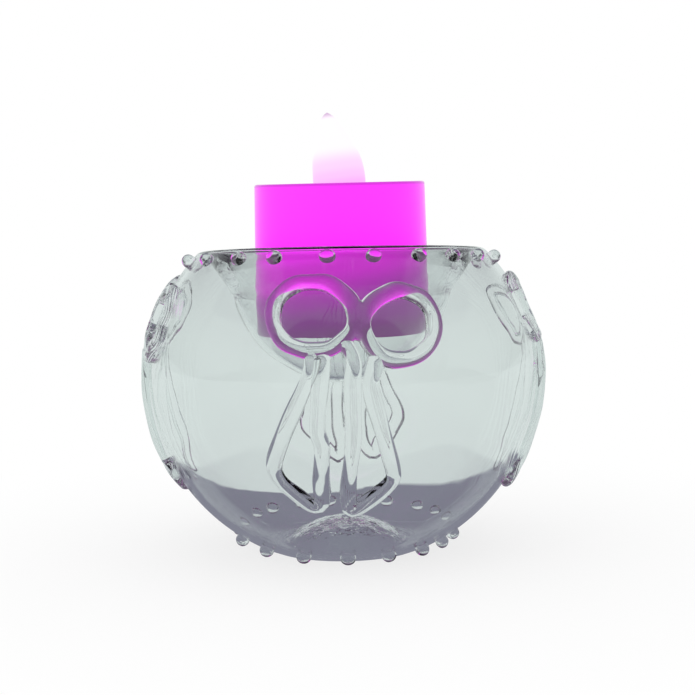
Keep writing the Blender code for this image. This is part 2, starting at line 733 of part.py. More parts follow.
def upper_contact(seat, finish):
    """The flat strip between the cell's top and the disc over it."""
    low = CELL_TOP + GAP

    def strip(shape):
        box(
            shape,
            (-STRIP_WIDTH / 2, -UPPER_CONTACT_LENGTH / 4, low),
            (STRIP_WIDTH / 2, UPPER_CONTACT_LENGTH * 3 / 4, low + STRIP_THICKNESS),
        )

    return mesh_object("upper_contact", strip, seat, finish)


def side_contact(seat, finish):
    """A strip bent to an L: a blade beside the cell and a foot that lies over the switch."""
    foot_z = SLIDER_TOP + GAP
    foot_end = SWITCH_OFFSET - SLIDER_WIDTH / 2

    def strip(shape):
        corners = (
            (BLADE_Y, PLATE_TOP + GAP),
            (BLADE_Y, POCKET_TOP - GAP),
            (BLADE_Y - STRIP_THICKNESS, POCKET_TOP - GAP),
            (BLADE_Y - STRIP_THICKNESS, foot_z + STRIP_THICKNESS),
            (foot_end, foot_z + STRIP_THICKNESS),
            (foot_end, foot_z),
            (BLADE_Y - STRIP_THICKNESS, foot_z),
            (BLADE_Y - STRIP_THICKNESS, PLATE_TOP + GAP),
        )
        face = shape.faces.new([shape.verts.new((-STRIP_WIDTH / 2, y, z)) for y, z in corners])
        made = bmesh.ops.extrude_face_region(shape, geom=[face])["geom"]
        moved = [part for part in made if isinstance(part, bmesh.types.BMVert)]
        bmesh.ops.translate(shape, verts=moved, vec=(STRIP_WIDTH, 0.0, 0.0))

    return mesh_object("side_contact", strip, seat, finish)


def led_post(seat, finish):
    """The disc over the cell with the hollow column that carries the lamp; a slot lets the bent leg out."""
    disc_radius = POCKET_RADIUS + POCKET_WALL
    item = mesh_object(
        "led_post",
        lambda shape: cylinder(shape, disc_radius, DISC_BOTTOM, DISC_TOP, (0.0, CELL_OFFSET), 40),
        seat,
        finish,
    )
    column = mesh_object(
        "column", lambda shape: cylinder(shape, POST_RADIUS, DISC_TOP - SINK, LED_SEAT, sides=24), seat
    )
    bore_ends = (DISC_BOTTOM - CUT_PAST, LED_SEAT + CUT_PAST)
    bore = mesh_object("column bore", lambda shape: cylinder(shape, POST_BORE, *bore_ends, sides=24), seat)
    slot_half = 2 * LED_LEG_RADIUS + GAP
    slot = mesh_object(
        "leg slot",
        lambda shape: box(
            shape,
            (-LED_LEG_OFFSET - slot_half, -2 * POST_RADIUS, DISC_TOP + GAP),
            (-LED_LEG_OFFSET + slot_half, 0.0, DISC_TOP + LEG_SLOT_HEIGHT),
        ),
        seat,
    )
    boolean(item, column, "UNION")
    boolean(item, bore, "DIFFERENCE")
    boolean(item, slot, "DIFFERENCE")
    shade_round(item)
    return item


def led(seat, finish):
    """The lamp: a domed lens with a flange, one straight leg and one bent out to the switch's contact."""
    flange_foot = LED_SEAT + GAP
    dome_foot = flange_foot + LED_BODY - LED_RADIUS
    outline = [
        (0.0, flange_foot),
        (LED_FLANGE_RADIUS + POST_RADIUS - POST_BORE, flange_foot),
        (LED_FLANGE_RADIUS + POST_RADIUS - POST_BORE, flange_foot + LED_FLANGE_THICKNESS),
        (LED_RADIUS, flange_foot + LED_FLANGE_THICKNESS),
    ]
    outline += arc((0.0, dome_foot), LED_RADIUS, 0, 90, 5)
    outline[-1] = (0.0, outline[-1][1])
    item = mesh_object("led", lambda shape: lathe(shape, outline, 24, False), seat, finish)
    start = flange_foot + LED_FLANGE_THICKNESS / 2
    straight = [(LED_LEG_OFFSET, 0.0, start), (LED_LEG_OFFSET, 0.0, POCKET_TOP + GAP)]
    drop = SWITCH_OFFSET + SLIDER_WIDTH / 2
    bend_z = DISC_TOP + LEG_RUN_HEIGHT
    bent = [
        (-LED_LEG_OFFSET, 0.0, start),
        (-LED_LEG_OFFSET, 0.0, bend_z + LEG_BEND),
        (-LED_LEG_OFFSET, -LEG_BEND, bend_z),
        (-LED_LEG_OFFSET, drop + LEG_BEND, bend_z),
        (-LED_LEG_OFFSET, drop, bend_z - LEG_BEND),
        (-LED_LEG_OFFSET, drop, SLIDER_TOP + STRIP_THICKNESS + 2 * GAP),
    ]
    for name, run in (("straight leg", straight), ("bent leg", bent)):
        boolean(item, rod(name, run, LED_LEG_RADIUS, False, 1, seat), "UNION")
    shade_round(item)
    return item


def main():
    clear_scene()
    glass = material("clear glass", (0.93, 0.96, 0.95), 0.02, transmission=1.0)
    pink_plastic = material("lit shell plastic", (1.0, 0.05, 1.0), 0.45, glow=0.6)
    flame_plastic = material("lit flame plastic", (1.0, 0.75, 1.0), 0.4, glow=0.9)
    white_plastic = material("white plastic", (0.86, 0.86, 0.84), 0.5)
    grey_plastic = material("grey plastic", (0.3, 0.3, 0.32), 0.5)
    lens = material("lamp lens", (1.0, 0.7, 1.0), 0.15, glow=1.0)
    steel = material("steel", (0.62, 0.62, 0.63), 0.3, metallic=1.0)
    nickel = material("nickel", (0.72, 0.71, 0.68), 0.25, metallic=1.0)
    glass_holder(glass)
    seat = tealight_place()
    candle_shell(seat, pink_plastic)
    flame_tip(seat, flame_plastic)
    base_plate(seat, white_plastic)
    battery_door(seat, white_plastic)
    door_screw(seat, steel)
    switch_slider(seat, grey_plastic)
    coin_cell(seat, steel)
    upper_contact(seat, nickel)
    side_contact(seat, nickel)
    led_post(seat, white_plastic)
    led(seat, lens)


main()
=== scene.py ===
import json
import math
import bpy
import numpy as np
from mathutils import Matrix, Vector

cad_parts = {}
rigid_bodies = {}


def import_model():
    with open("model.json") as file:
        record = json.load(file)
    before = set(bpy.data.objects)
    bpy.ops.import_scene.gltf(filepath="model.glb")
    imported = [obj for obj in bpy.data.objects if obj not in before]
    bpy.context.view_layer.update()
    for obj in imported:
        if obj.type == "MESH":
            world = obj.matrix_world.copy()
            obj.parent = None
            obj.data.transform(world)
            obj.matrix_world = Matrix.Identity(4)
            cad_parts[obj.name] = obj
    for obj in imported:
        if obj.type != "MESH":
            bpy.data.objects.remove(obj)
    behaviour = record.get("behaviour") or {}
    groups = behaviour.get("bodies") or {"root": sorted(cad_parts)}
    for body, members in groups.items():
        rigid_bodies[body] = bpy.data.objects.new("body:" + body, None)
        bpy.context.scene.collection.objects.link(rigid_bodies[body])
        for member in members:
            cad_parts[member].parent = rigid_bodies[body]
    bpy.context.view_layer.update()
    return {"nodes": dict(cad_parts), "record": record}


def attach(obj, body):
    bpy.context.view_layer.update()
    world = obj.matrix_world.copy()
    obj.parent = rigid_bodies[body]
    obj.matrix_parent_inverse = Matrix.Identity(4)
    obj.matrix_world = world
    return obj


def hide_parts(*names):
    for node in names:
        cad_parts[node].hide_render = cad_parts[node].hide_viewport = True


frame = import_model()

mm = 0.001
nodes = frame["nodes"]
print("frame loaded:", len(nodes), "nodes")


# the camera comes first, so that every look is judged from the photo's place
cameraSetup = dict(
    distance=300.0,      # mm from the bowl's axis
    eyeHeight=65.8,      # mm over the table
    aimHeight=43.5,      # mm, the picture's middle
    sideShift=1.0,       # mm to the right
    lens=71.5,           # on a 36 mm sensor
    rollDegrees=1.0,     # the picture's right side is a little high
)


def makeCamera(setup):
    data = bpy.data.cameras.new("photoCamera")
    data.lens = setup["lens"]
    data.sensor_width = 36.0
    data.clip_start = 0.01
    camera = bpy.data.objects.new("photoCamera", data)
    bpy.context.scene.collection.objects.link(camera)
    place = Vector((setup["sideShift"], -setup["distance"], setup["eyeHeight"])) * mm
    aim = Vector((setup["sideShift"], 0.0, setup["aimHeight"])) * mm
    look = (aim - place).to_track_quat("-Z", "Y").to_matrix()
    roll = Matrix.Rotation(math.radians(-setup["rollDegrees"]), 3, "Z")
    camera.matrix_world = Matrix.Translation(place) @ (look @ roll).to_4x4()
    bpy.context.scene.camera = camera


makeCamera(cameraSetup)
print("camera set")


# the faces of a grid of points: rows run along the surface's length, columns round it, and each face joins
# point (row, column) with the next column and the next row
def gridFaces(rows, columns, closeRows=False):
    i = np.arange(rows if closeRows else rows - 1)[:, None]
    j = np.arange(columns)[None, :]
    nextRow = (i + 1) % rows
    nextColumn = (j + 1) % columns
    quads = np.stack([i * columns + j, i * columns + nextColumn,
                      nextRow * columns + nextColumn, nextRow * columns + j], axis=-1)
    return quads.reshape(-1, 4)


# two fans that close a grid's first and last row with one point each
def poleFaces(rows, columns, firstPole, lastPole):
    j = np.arange(columns)
    k = (j + 1) % columns
    first = np.stack([np.full(columns, firstPole), k, j], axis=-1)
    base = (rows - 1) * columns
    last = np.stack([np.full(columns, lastPole), base + j, base + k], axis=-1)
    return np.concatenate([first, last])


# a mesh object from whole arrays: points in metres, four-sided faces and, where there are any, triangles
def putMesh(name, points, quads, triangles=None, smooth=True):
    points = np.ascontiguousarray(points, dtype=np.float32).reshape(-1, 3)
    loops = [quads.ravel()]
    sizes = [np.full(len(quads), 4)]
    if triangles is not None and len(triangles):
        loops.append(triangles.ravel())
        sizes.append(np.full(len(triangles), 3))
    loops = np.concatenate(loops).astype(np.int32)
    sizes = np.concatenate(sizes).astype(np.int32)
    starts = np.concatenate([[0], np.cumsum(sizes)[:-1]]).astype(np.int32)
    mesh = bpy.data.meshes.new(name)
    mesh.vertices.add(len(points))
    mesh.vertices.foreach_set("co", points.ravel())
    mesh.loops.add(len(loops))
    mesh.loops.foreach_set("vertex_index", loops)
    mesh.polygons.add(len(sizes))
    mesh.polygons.foreach_set("loop_start", starts)
    mesh.update(calc_edges=True)
    mesh.validate()
    mesh.polygons.foreach_set("use_smooth", np.full(len(sizes), smooth))
    item = bpy.data.objects.new(name, mesh)
    bpy.context.scene.collection.objects.link(item)
    return item


# a closed surface's volume is positive when its faces point outwards; where it isn't, they are turned
def facesOutward(item):
    mesh = item.data
    mesh.calc_loop_triangles()
    corners = np.empty(len(mesh.loop_triangles) * 3, np.int32)
    mesh.loop_triangles.foreach_get("vertices", corners)
    points = np.empty(len(mesh.vertices) * 3, np.float32)
    mesh.vertices.foreach_get("co", points)
    a, b, c = (points.reshape(-1, 3)[corners.reshape(-1, 3)[:, k]].astype(float) for k in range(3))
    volume = float((a * np.cross(b, c)).sum() / 6)
    if volume < 0:
        mesh.flip_normals()
    return round(abs(volume) * 1e6, 2)


# a closed shape turned about the axis: (radius * cos turn, radius * sin turn, height); the outline's two ends
# lie on the axis
def turnedSurface(name, outline, sides, shift=None):
    radii, heights = outline[1:-1, 0], outline[1:-1, 1]
    turns = np.linspace(0.0, math.tau, sides, endpoint=False)
    radius = radii[:, None] * np.ones(sides)[None, :]
    height = heights[:, None] * np.ones(sides)[None, :]
    if shift is not None:
        radius, height = shift(radius, height, turns[None, :])
    body = np.stack([radius * np.cos(turns), radius * np.sin(turns), height], axis=-1).reshape(-1, 3)
    poles = np.array([[0.0, 0.0, outline[0, 1]], [0.0, 0.0, outline[-1, 1]]])
    points = np.concatenate([body, poles]) * mm
    rows = len(radii)
    return putMesh(name, points, gridFaces(rows, sides), poleFaces(rows, sides, len(body), len(body) + 1))


# an oval section carried along a path: path point + side * cos + outward * sin
def sweptRod(name, path, outward, halfWidth, halfHeight, columns, closed):
    if closed:
        along = np.roll(path, -1, axis=0) - np.roll(path, 1, axis=0)
    else:
        along = np.gradient(path, axis=0)
    along /= np.linalg.norm(along, axis=1)[:, None]
    side = np.cross(along, outward)
    side /= np.linalg.norm(side, axis=1)[:, None]
    turns = np.linspace(0.0, math.tau, columns, endpoint=False)
    section = (side[:, None, :] * (halfWidth[:, None] * np.cos(turns))[:, :, None]
               + outward[:, None, :] * (halfHeight[:, None] * np.sin(turns))[:, :, None])
    body = (path[:, None, :] + section).reshape(-1, 3)
    quads = gridFaces(len(path), columns, closed)
    if closed:
        return putMesh(name, body * mm, quads)
    ends = np.stack([path[0] - along[0] * halfWidth[0] * 0.5, path[-1] + along[-1] * halfWidth[-1] * 0.5])
    fans = poleFaces(len(path), columns, len(body), len(body) + 1)
    return putMesh(name, np.concatenate([body, ends]) * mm, quads, fans)


# a smooth run through given points: a Catmull-Rom curve, sampled evenly in each span
def smoothRun(points, step, closed=False):
    points = np.array(points, dtype=float)
    if closed:
        before, here, there, after = (np.roll(points, n, axis=0) for n in (1, 0, -1, -2))
    else:
        padded = np.concatenate([2 * points[:1] - points[1:2], points, 2 * points[-1:] - points[-2:-1]])
        before, here, there, after = padded[:-3], padded[1:-2], padded[2:-1], padded[3:]
    lengths = np.linalg.norm(there - here, axis=1)
    count = max(3, int(math.ceil(lengths.mean() / step)))
    t = (np.arange(count) / count)[None, :, None]
    p0, p1, p2, p3 = (a[:, None, :] for a in (before, here, there, after))
    curve = 0.5 * (2 * p1 + (p2 - p0) * t + (2 * p0 - 5 * p1 + 4 * p2 - p3) * t**2
                   + (3 * p1 - p0 - 3 * p2 + p3) * t**3)
    curve = curve.reshape(-1, points.shape[1])
    if not closed:
        curve = np.concatenate([curve, points[-1:]])
    total = np.concatenate([[0.0], np.cumsum(np.linalg.norm(np.diff(curve, axis=0), axis=1))])
    if closed:
        curve = np.concatenate([curve, curve[:1]])
        total = np.append(total, total[-1] + np.linalg.norm(curve[-1] - curve[-2]))
    wanted = np.linspace(0.0, total[-1], max(8, int(total[-1] / step)) + 1)
    if closed:
        wanted = wanted[:-1]
    return np.stack([np.interp(wanted, total, curve[:, k]) for k in range(curve.shape[1])], axis=1)


# a circle's arc: centre + radius * (cos turn, sin turn), the turns in degrees
def arcPoints(centre, radius, start, end, steps):
    turns = np.radians(np.linspace(start, end, steps + 1))
    return np.stack([centre[0] + radius * np.cos(turns), centre[1] + radius * np.sin(turns)], axis=1)


# the round in a corner between two straight runs: (1 - t)^2 * start + 2t(1 - t) * corner + t^2 * end, where
# start and end are the places at which an arc of that radius would touch the runs
def roundedCorner(before, corner, after, radius, steps):
    before, corner, after = (np.array(p, dtype=float) for p in (before, corner, after))
    a = (before - corner) / np.linalg.norm(before - corner)
    b = (after - corner) / np.linalg.norm(after - corner)
    half = math.acos(float(a @ b)) / 2
    reach = radius / math.tan(half)
    t = np.linspace(0.0, 1.0, steps + 1)[:, None]
    start, end = corner + a * reach, corner + b * reach
    return (1 - t) ** 2 * start + 2 * t * (1 - t) * corner + t**2 * end


# the bowl, in mm; heights are over the table
bowl = dict(
    radius=42.0, widest=38.0, lowerReach=41.4, upperReach=39.0, wall=1.25,
    footRound=0.8, footWall=1.5, kickRadius=12.6, kickHeight=4.8, ventRadius=1.0,
    rimHeight=64.7, rimRound=2.2, rimWall=1.05, rimLean=0.032, leanFrom=50.0, leanRun=13.0,
    cupRadius=22.8, cupCentre=60.0, cupWall=1.15, lipHeight=57.0, lipRound=5.0,
    sides=200, waveOutside=0.05, waveInside=0.08,
)


# radius at a height: radius * sqrt(1 - ((z - widest) / reach)^2), two half ellipses that meet at the widest height
def bowlRadius(z, inset=0.0):
    z = np.asarray(z, dtype=float)
    reach = np.where(z > bowl["widest"], bowl["upperReach"], bowl["lowerReach"]) - inset
    share = np.clip(1.0 - ((z - bowl["widest"]) / reach) ** 2, 0.0, 1.0)
    return (bowl["radius"] - inset) * np.sqrt(share)


# a place on the wall and the direction straight out of it; across is measured round the wall
def onBowl(across, z, turn):
    radius = bowlRadius(z)
    reach = np.where(z > bowl["widest"], bowl["upperReach"], bowl["lowerReach"])
    angle = across / radius + turn
    flat = np.stack([radius / bowl["radius"] ** 2, (z - bowl["widest"]) / reach**2], axis=-1)
    flat /= np.linalg.norm(flat, axis=-1)[..., None]
    point = np.stack([radius * np.sin(angle), -radius * np.cos(angle), z], axis=-1)
    outward = np.stack([flat[..., 0] * np.sin(angle), -flat[..., 0] * np.cos(angle), flat[..., 1]], axis=-1)
    return point, outward


# points along the wall between two heights, evenly in the ellipse's own angle
def wallRun(startZ, endZ, steps, inset=0.0):
    def turnAt(z):
        reach = (bowl["upperReach"] if z > bowl["widest"] else bowl["lowerReach"]) - inset
        return math.asin((z - bowl["widest"]) / reach)

    turns = np.linspace(turnAt(startZ), turnAt(endZ), steps + 1)
    reach = np.where(turns > 0, bowl["upperReach"], bowl["lowerReach"]) - inset
    return np.stack([(bowl["radius"] - inset) * np.cos(turns), bowl["widest"] + reach * np.sin(turns)], axis=1)


# the wall's outline, as (radius, height): the cup from its pole, lip, slope, rolled rim, outside, foot, the arch
# under the foot with its vent, the inside, the roll's inside and the cup's back
def bowlOutline():
    b = bowl
    # the rim is a roll of even thickness that touches the outside wall at the shoulder
    point, normal = onBowl(np.array([0.0]), np.array([b["rimHeight"] - 0.3 * b["rimRound"]]), 0.0)
    shoulder, outward = np.array([-point[0, 1], point[0, 2]]), np.array([-normal[0, 1], normal[0, 2]])
    rim = np.array([shoulder[0] - b["rimRound"] * outward[0], b["rimHeight"] - b["rimRound"]])
    shoulderTurn = math.degrees(math.atan2(outward[1], outward[0]))
    lipTurn = -math.degrees(math.asin((b["cupCentre"] - b["lipHeight"]) / b["cupRadius"]))
    lip = np.array([b["cupRadius"] * math.cos(math.radians(lipTurn)), b["lipHeight"]])
    slope = math.atan2(rim[1] - lip[1], rim[0] - lip[0])
    slopeTurn = 90 + math.degrees(slope)
    slopeTop = rim + b["rimRound"] * np.array([-math.sin(slope), math.cos(slope)])
    cup = arcPoints((0.0, b["cupCentre"]), b["cupRadius"], -90, lipTurn - 6, 40)
    lipRound = roundedCorner(cup[-1], lip, slopeTop, b["lipRound"], 8)
    rimRound = arcPoints(rim, b["rimRound"], slopeTurn, shoulderTurn + 4, 14)
    outside = wallRun(shoulder[1] - 0.3, b["footRound"] + 0.3, 54)
    ringEdge = float(bowlRadius(0.0)) - b["footRound"]
    footRound = roundedCorner(outside[-1], (ringEdge + 0.4, 0.0), (ringEdge - 1.0, 0.0), 0.5, 4)
    # the arch is a circle's cap through the kick's edge and top; the foot's inside follows it
    archRadius = (b["kickRadius"] ** 2 + b["kickHeight"] ** 2) / (2 * b["kickHeight"])
    archCentre = (0.0, b["kickHeight"] - archRadius)
    archTurn = math.degrees(math.acos(b["kickRadius"] / archRadius))
    ventTurn = math.degrees(math.acos(b["ventRadius"] / archRadius))
    under = arcPoints(archCentre, archRadius, archTurn, ventTurn, 14)
    overRadius = archRadius + b["footWall"]
    overVentTurn = math.degrees(math.acos(b["ventRadius"] / overRadius))
    over = arcPoints(archCentre, overRadius, overVentTurn, archTurn + 5, 12)
    inside = wallRun(1.35 * b["footWall"], shoulder[1] - b["wall"] * outward[1] - 0.5, 44, b["wall"])
    valley = roundedCorner(over[-1], (b["kickRadius"] + 1.6, 0.85 * b["footWall"]), inside[0], 1.0, 4)
    back = arcPoints((0.0, b["cupCentre"]), b["cupRadius"] + b["cupWall"], lipTurn - 4, -90, 34)
    rollInside = arcPoints(rim, b["rimRound"] - b["rimWall"], shoulderTurn, slopeTurn, 12)
    slopeBack = np.linspace(rollInside[-1], back[0], 7)[1:-1]
    cup[0, 0] = back[-1, 0] = 0.0
    return np.concatenate([cup, lipRound, rimRound, outside, footRound, under, over, valley, inside,
                           rollInside, slopeBack, back])


# hand-blown unevenness: radius + wave depth * a sum of sines of the turn and the height, other ones inside than
# outside, faded out towards the foot and the rim; the shares are places along the outline
def blownWaves(radius, height, turns):
    share = np.arange(radius.shape[0])[:, None] / radius.shape[0]
    outer = (share > 0.32) & (share < 0.60)
    inner = (share > 0.68) & (share < 0.86)
    wave = (np.sin(2 * turns + 0.11 * height) + 0.7 * np.sin(3 * turns - 0.09 * height + 1.1)
            + 0.5 * np.sin(5 * turns + 0.16 * height + 2.3) + 0.35 * np.sin(7 * turns - 0.23 * height))
    other = (np.sin(3 * turns + 0.14 * height + 0.8) + 0.8 * np.sin(4 * turns - 0.12 * height + 2.0)
             + 0.5 * np.sin(6 * turns + 0.21 * height) + 0.4 * np.sin(9 * turns - 0.31 * height + 1.7))
    fade = np.clip((height - 10.0) / 12.0, 0.0, 1.0) * np.clip((62.5 - height) / 8.0, 0.0, 1.0)
    radius = radius + fade * (outer * bowl["waveOutside"] * wave + inner * bowl["waveInside"] * other)
    return radius, height


glassBody = turnedSurface("glassHolder", bowlOutline(), bowl["sides"], blownWaves)
print("bowl body:", len(glassBody.data.vertices), "points")


# the rod bows, laid hot on the wall, in mm; places are (across, height) from the bow's own middle line
bows = dict(
    count=4, turn=4.2, width=1.62, height=1.25, standOut=0.45, sections=18, step=0.75,
    leftLoop=dict(centre=(-8.3, 52.0), size=(7.85, 6.0)),
    rightLoop=dict(centre=(8.15, 50.05), size=(7.1, 6.15)),
    knot=[(-1.6, 54.6), (0.3, 53.2), (0.2, 51.4), (-0.3, 49.6), (1.6, 47.6)],
    leftTail=[(-8.6, 46.3), (-8.7, 42.3), (-11.9, 35.9), (-14.4, 30.0), (-16.3, 24.4), (-15.5, 21.2), (-12.0, 18.3),
              (-8.6, 15.4), (-7.3, 17.0), (-7.2, 21.5), (-7.3, 27.8), (-7.9, 31.4), (-7.4, 39.1), (-6.8, 43.0),
              (-6.6, 46.4)],
    rightTail=[(-3.4, 48.4), (-1.5, 45.6), (-0.9, 43.5), (-1.4, 39.6), (-1.5, 29.1), (-2.0, 21.0), (-2.1, 16.4),
               (-1.0, 14.7), (2.4, 17.2), (5.9, 20.2), (6.5, 22.2), (5.3, 26.9), (3.7, 32.8), (2.4, 39.2), (2.8, 42.6),
               (3.6, 45.6)],
)
random = np.random.default_rng(11)


# one bow's rods as runs of places on the wall: loops are ellipses, the others go through their placed points, and
# each point is moved a little, as a hand would
def bowRuns(uneven):
    turns = np.linspace(0.0, math.tau, 16, endpoint=False)
    runs = []
    for loop in (bows["leftLoop"], bows["rightLoop"]):
        across = loop["centre"][0] + loop["size"][0] * np.cos(turns)
        height = loop["centre"][1] + loop["size"][1] * np.sin(turns)
        runs.append((np.stack([across, height], axis=1), True))
    for key in ("knot", "leftTail", "rightTail"):
        runs.append((np.array(bows[key]), False))
    moved = []
    for run, closed in runs:
        nudge = random.normal(0.0, uneven, run.shape)
        moved.append((smoothRun(run + nudge, bows["step"], closed), closed))
    return moved


# each run is put on the wall, lifted by standOut and given its section, which swells along it and narrows at open ends
def makeBow(index):
    turn = math.radians(bows["turn"]) + math.tau * index / bows["count"]
    made = []
    for number, (run, closed) in enumerate(bowRuns(0.12 if index == 0 else 0.3)):
        point, outward = onBowl(run[:, 0], run[:, 1], turn)
        share = np.linspace(0.0, math.tau, len(run), endpoint=not closed)
        swell = 1.0 + 0.05 * np.sin(3 * share + index + number) + 0.04 * np.sin(7 * share + 2.0 * number)
        if not closed:
            fromEnd = np.minimum(np.arange(len(run)), np.arange(len(run))[::-1]) * bows["step"]
            swell = swell * np.sqrt(np.clip(fromEnd / 1.5, 0.08, 1.0))
        path = point + outward * bows["standOut"]
        made.append(sweptRod(f"bow{index}_{number}", path, outward, bows["width"] * swell,
                             bows["height"] * swell, bows["sections"], closed))
    return made


bowPieces = [piece for index in range(bows["count"]) for piece in makeBow(index)]
print("bow rods:", len(bowPieces))


# the beads, drops of glass under the rim and round the foot, in mm; their turns are in degrees from the front
beads = dict(
    rimHeight=62.3, footFront=2.4, footBack=4.8,
    rimTurns=[-75, -55, -37.5, -23, -4.5, 11, 27.5, 42, 56.5, 76,
              93, 108, 123, 139, 157, 178, 199, 220.5, 238, 262],
    footTurns=[-74.5, -48, -23.5, 1, 23.5, 45.5, 63, 82, 102.5, 120.5, 136.5, 157, 173, 189, 205.5, 225, 239, 262],
    across=1.62, tall=1.4, deep=1.5, standOut=0.5, columns=24, rows=15,
)


# a sphere squeezed on its three axes, a little more to one side, standing on the wall
def makeBead(name, turn, z):
    latitude = np.linspace(-math.pi / 2, math.pi / 2, beads["rows"] + 2)[1:-1, None]
    longitude = np.linspace(0.0, math.tau, beads["columns"], endpoint=False)[None, :]
    squeeze = 1.0 + random.normal(0.0, 0.03, 3)
    lean = random.normal(0.0, 0.05)
    x = np.cos(latitude) * np.cos(longitude) * beads["across"] * squeeze[0]
    y = np.cos(latitude) * np.sin(longitude) * beads["tall"] * squeeze[1]
    w = (np.sin(latitude) + 0 * longitude) * beads["deep"] * squeeze[2]
    x = x * (1.0 + lean * y)
    centre, outward = onBowl(np.array([0.0]), np.array([z]), turn)
    centre, outward = centre[0], outward[0]
    side = np.array([math.cos(turn), math.sin(turn), 0.0])
    upward = np.cross(outward, side)
    middle = centre + outward * beads["standOut"]
    body = middle + x[..., None] * side + y[..., None] * upward + w[..., None] * outward
    poles = np.stack([middle - outward * beads["deep"] * squeeze[2], middle + outward * beads["deep"] * squeeze[2]])
    points = np.concatenate([body.reshape(-1, 3), poles]) * mm
    rows, columns = beads["rows"], beads["columns"]
    count = rows * columns
    return putMesh(name, points, gridFaces(rows, columns), poleFaces(rows, columns, count, count + 1))


# the foot's row is a little higher behind than in front
footHeights = [beads["footFront"] + (beads["footBack"] - beads["footFront"]) * (1 - math.cos(math.radians(t))) / 2
               for t in beads["footTurns"]]
beadPieces = [makeBead(f"rimBead{i}", math.radians(t), beads["rimHeight"]) for i, t in enumerate(beads["rimTurns"])]
beadPieces += [makeBead(f"footBead{i}", math.radians(t), z)
               for i, (t, z) in enumerate(zip(beads["footTurns"], footHeights))]
print("beads:", len(beadPieces))


# everything fused to the bowl becomes one body of glass
def fuse(body, pieces, name):
    group = bpy.data.collections.new(name)
    bpy.context.scene.collection.children.link(group)
    for piece in [body, *pieces]:
        facesOutward(piece)
    for piece in pieces:
        bpy.context.scene.collection.objects.unlink(piece)
        group.objects.link(piece)
    step = body.modifiers.new("fuse", "BOOLEAN")
    step.operation = "UNION"
    step.solver = "MANIFOLD"
    step.operand_type = "COLLECTION"
    step.collection = group
    graph = bpy.context.evaluated_depsgraph_get()
    made = bpy.data.meshes.new_from_object(body.evaluated_get(graph), depsgraph=graph)
    body.modifiers.clear()
    old = body.data
    body.data = made
    bpy.data.meshes.remove(old)
    for piece in pieces:
        bpy.data.objects.remove(piece, do_unlink=True)
    bpy.data.collections.remove(group)
    made.shade_smooth()
    made.set_sharp_from_angle(angle=math.radians(50.0))


# the rim was pinched in by hand and leans: height grows by rimLean for each mm towards the front
def leanRim(item):
    points = np.empty(len(item.data.vertices) * 3, np.float32)
    item.data.vertices.foreach_get("co", points)
    points = points.reshape(-1, 3)
    share = np.clip((points[:, 2] / mm - bowl["leanFrom"]) / bowl["leanRun"], 0.0, 1.0)
    points[:, 2] -= bowl["rimLean"] * points[:, 1] * share**2 * (3 - 2 * share)
    item.data.vertices.foreach_set("co", points.ravel())
    item.data.update()


fuse(glassBody, bowPieces + beadPieces, "fusedGlass")
leanRim(glassBody)
print("fused glass:", len(glassBody.data.polygons), "faces,", facesOutward(glassBody), "cubic cm")


# the tealight, in mm in its own frame: z from its lower edge, leaning about the cup's centre
tealight = dict(
    footRadius=18.9, topRadius=18.3, height=31.4, wall=1.2, edgeRound=0.6,
    leanForward=2.5, leanRightUp=0.4, gap=0.3, sides=144,
    flameRadius=5.65, flameHeight=15.0, flameWall=0.9, tipShift=-2.3, flange=1.4, flangeThickness=1.0,
)


# its lower edge stands on the cup's round bottom: drop = sqrt((cup radius - gap)^2 - foot radius^2) below the
# cup's centre
def tealightPlace():
    t = tealight
    drop = math.sqrt((bowl["cupRadius"] - t["gap"]) ** 2 - t["footRadius"] ** 2)
    sideways = Matrix.Rotation(-math.radians(t["leanRightUp"]), 4, "Y")
    forward = Matrix.Rotation(math.radians(t["leanForward"]), 4, "X")
    centre = Matrix.Translation((0.0, 0.0, bowl["cupCentre"] * mm))
    return centre @ (sideways @ forward) @ Matrix.Translation((0.0, 0.0, -drop * mm))


# the shell, a closed ring of an outline turned about the axis: inside, flame's hole, lid, rounded edge, outside
def makeShell():
    t = tealight
    hole = t["flameRadius"] + t["gap"]
    slope = (t["topRadius"] - t["footRadius"]) / t["height"]
    ceiling = t["height"] - t["wall"]
    footOutside = np.array([t["footRadius"], 0.0])
    topCorner = np.array([t["topRadius"], t["height"]])
    edge = roundedCorner((hole, t["height"]), topCorner, footOutside, t["edgeRound"], 8)
    side = np.linspace(edge[-1], footOutside, 14)[1:]
    insideFoot = np.array([t["footRadius"] - t["wall"], 0.0])
    insideTop = np.array([t["footRadius"] + slope * ceiling - t["wall"], ceiling])
    inside = np.linspace(insideFoot, insideTop, 12)
    lid = np.linspace((hole + 0.25, t["height"]), edge[0], 8)[:-1]
    holeEdge = np.array([(hole, ceiling), (hole, t["height"] - 0.25)])
    outline = np.concatenate([inside, holeEdge, lid, edge, side])[::-1]
    turns = np.linspace(0.0, math.tau, t["sides"], endpoint=False)
    points = np.stack([outline[:, :1] * np.cos(turns), outline[:, :1] * np.sin(turns),
                       outline[:, 1:] * np.ones(t["sides"])], axis=-1).reshape(-1, 3) * mm
    return putMesh("candleShell", points, gridFaces(len(outline), t["sides"], True)[:, ::-1])


